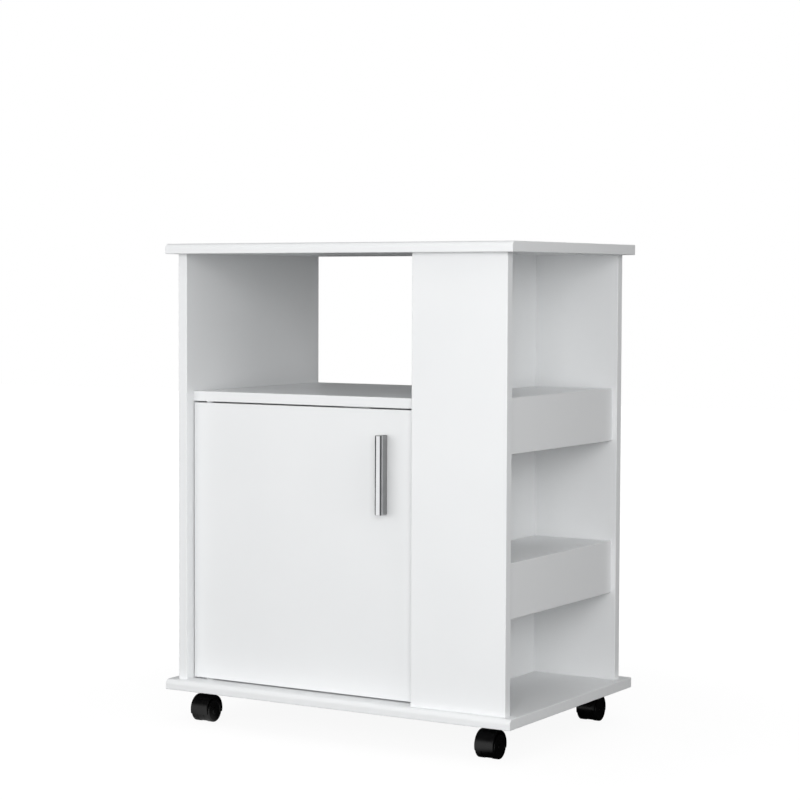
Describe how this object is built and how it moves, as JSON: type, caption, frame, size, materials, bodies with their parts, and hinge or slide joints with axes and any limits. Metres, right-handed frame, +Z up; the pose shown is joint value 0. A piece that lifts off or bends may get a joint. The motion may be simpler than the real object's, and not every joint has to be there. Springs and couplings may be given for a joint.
{
  "type": "microwave cabinet",
  "caption": "White kitchen cabinet on castors with an open appliance compartment over a hinged door and a side column of shelves that is open to the right.",
  "frame": {"origin": "on the floor, under the middle of the top panel", "axes": "+Z up, +Y to the back, +X to the right seen from the front"},
  "size_m": [0.58, 0.395, 0.715],
  "materials": {
    "white_melamine": "satin white melamine on particleboard",
    "white_hardboard": "white lacquered hardboard",
    "chrome": "polished chrome plating",
    "zinc_plated_steel": "bright zinc plating",
    "cast_zinc": "die-cast zinc, as cast",
    "white_nylon": "moulded white nylon",
    "black_plastic": "moulded black nylon, semi-gloss",
    "ferrite": "sintered ferrite, matt",
    "beech": "raw beech"
  },
  "bodies": {
    "cabinet": {"top_panel": "white_melamine", "bottom_panel": "white_melamine", "left_side_panel": "white_melamine", "partition_panel": "white_melamine", "column_front_panel": "white_melamine", "column_back_panel": "white_melamine", "main_shelf": "white_melamine", "upper_column_shelf": "white_melamine", "lower_column_shelf": "white_melamine", "upper_fascia": "white_melamine", "lower_fascia": "white_melamine", "back_board": "white_hardboard", "back_board_nails": "zinc_plated_steel", "cam_locks": "cast_zinc", "cam_bolts": "zinc_plated_steel", "cam_caps": "white_nylon", "wooden_dowels": "beech", "base_screws": "zinc_plated_steel", "upper_pivot_bush": "white_nylon", "lower_pivot_bush": "white_nylon", "catch_housing": "white_nylon", "catch_magnet": "ferrite", "catch_screws": "zinc_plated_steel", "castor_plates": "zinc_plated_steel", "castor_kingpins": "zinc_plated_steel", "castor_screws": "zinc_plated_steel"},
    "door": {"door": "white_melamine", "door_handle": "chrome", "handle_screws": "zinc_plated_steel", "upper_pivot_pin": "zinc_plated_steel", "lower_pivot_pin": "zinc_plated_steel", "catch_strike": "zinc_plated_steel", "strike_screw": "zinc_plated_steel"},
    "front_left_castor": {"front_left_castor_housing": "black_plastic", "front_left_castor_axle": "zinc_plated_steel"},
    "front_left_castor_left_wheel": {"front_left_castor_left_wheel": "black_plastic"},
    "front_left_castor_right_wheel": {"front_left_castor_right_wheel": "black_plastic"},
    "front_right_castor": {"front_right_castor_housing": "black_plastic", "front_right_castor_axle": "zinc_plated_steel"},
    "front_right_castor_left_wheel": {"front_right_castor_left_wheel": "black_plastic"},
    "front_right_castor_right_wheel": {"front_right_castor_right_wheel": "black_plastic"},
    "rear_left_castor": {"rear_left_castor_housing": "black_plastic", "rear_left_castor_axle": "zinc_plated_steel"},
    "rear_left_castor_left_wheel": {"rear_left_castor_left_wheel": "black_plastic"},
    "rear_left_castor_right_wheel": {"rear_left_castor_right_wheel": "black_plastic"},
    "rear_right_castor": {"rear_right_castor_housing": "black_plastic", "rear_right_castor_axle": "zinc_plated_steel"},
    "rear_right_castor_left_wheel": {"rear_right_castor_left_wheel": "black_plastic"},
    "rear_right_castor_right_wheel": {"rear_right_castor_right_wheel": "black_plastic"}
  },
  "joints": [
    {"name": "door_swing", "type": "hinge", "parent": "cabinet", "child": "door", "pos_m": [-0.234, -0.159, 0.2725], "axis": [0, 0, -1], "range_deg": [0, 110]},
    {"name": "front_left_castor_swivel", "type": "hinge", "parent": "cabinet", "child": "front_left_castor", "pos_m": [-0.241, -0.1485, 0.045], "axis": [0, 0, 1], "continuous": true},
    {"name": "front_left_castor_left_wheel_spin", "type": "hinge", "parent": "front_left_castor", "child": "front_left_castor_left_wheel", "pos_m": [-0.2518, -0.161, 0.017], "axis": [1, 0, 0], "continuous": true},
    {"name": "front_left_castor_right_wheel_spin", "type": "hinge", "parent": "front_left_castor", "child": "front_left_castor_right_wheel", "pos_m": [-0.2302, -0.161, 0.017], "axis": [1, 0, 0], "continuous": true},
    {"name": "front_right_castor_swivel", "type": "hinge", "parent": "cabinet", "child": "front_right_castor", "pos_m": [0.241, -0.1485, 0.045], "axis": [0, 0, 1], "continuous": true},
    {"name": "front_right_castor_left_wheel_spin", "type": "hinge", "parent": "front_right_castor", "child": "front_right_castor_left_wheel", "pos_m": [0.2302, -0.161, 0.017], "axis": [1, 0, 0], "continuous": true},
    {"name": "front_right_castor_right_wheel_spin", "type": "hinge", "parent": "front_right_castor", "child": "front_right_castor_right_wheel", "pos_m": [0.2518, -0.161, 0.017], "axis": [1, 0, 0], "continuous": true},
    {"name": "rear_left_castor_swivel", "type": "hinge", "parent": "cabinet", "child": "rear_left_castor", "pos_m": [-0.241, 0.1485, 0.045], "axis": [0, 0, 1], "continuous": true},
    {"name": "rear_left_castor_left_wheel_spin", "type": "hinge", "parent": "rear_left_castor", "child": "rear_left_castor_left_wheel", "pos_m": [-0.2518, 0.161, 0.017], "axis": [1, 0, 0], "continuous": true},
    {"name": "rear_left_castor_right_wheel_spin", "type": "hinge", "parent": "rear_left_castor", "child": "rear_left_castor_right_wheel", "pos_m": [-0.2302, 0.161, 0.017], "axis": [1, 0, 0], "continuous": true},
    {"name": "rear_right_castor_swivel", "type": "hinge", "parent": "cabinet", "child": "rear_right_castor", "pos_m": [0.241, 0.1485, 0.045], "axis": [0, 0, 1], "continuous": true},
    {"name": "rear_right_castor_left_wheel_spin", "type": "hinge", "parent": "rear_right_castor", "child": "rear_right_castor_left_wheel", "pos_m": [0.2302, 0.161, 0.017], "axis": [1, 0, 0], "continuous": true},
    {"name": "rear_right_castor_right_wheel_spin", "type": "hinge", "parent": "rear_right_castor", "child": "rear_right_castor_right_wheel", "pos_m": [0.2518, 0.161, 0.017], "axis": [1, 0, 0], "continuous": true}
  ]
}
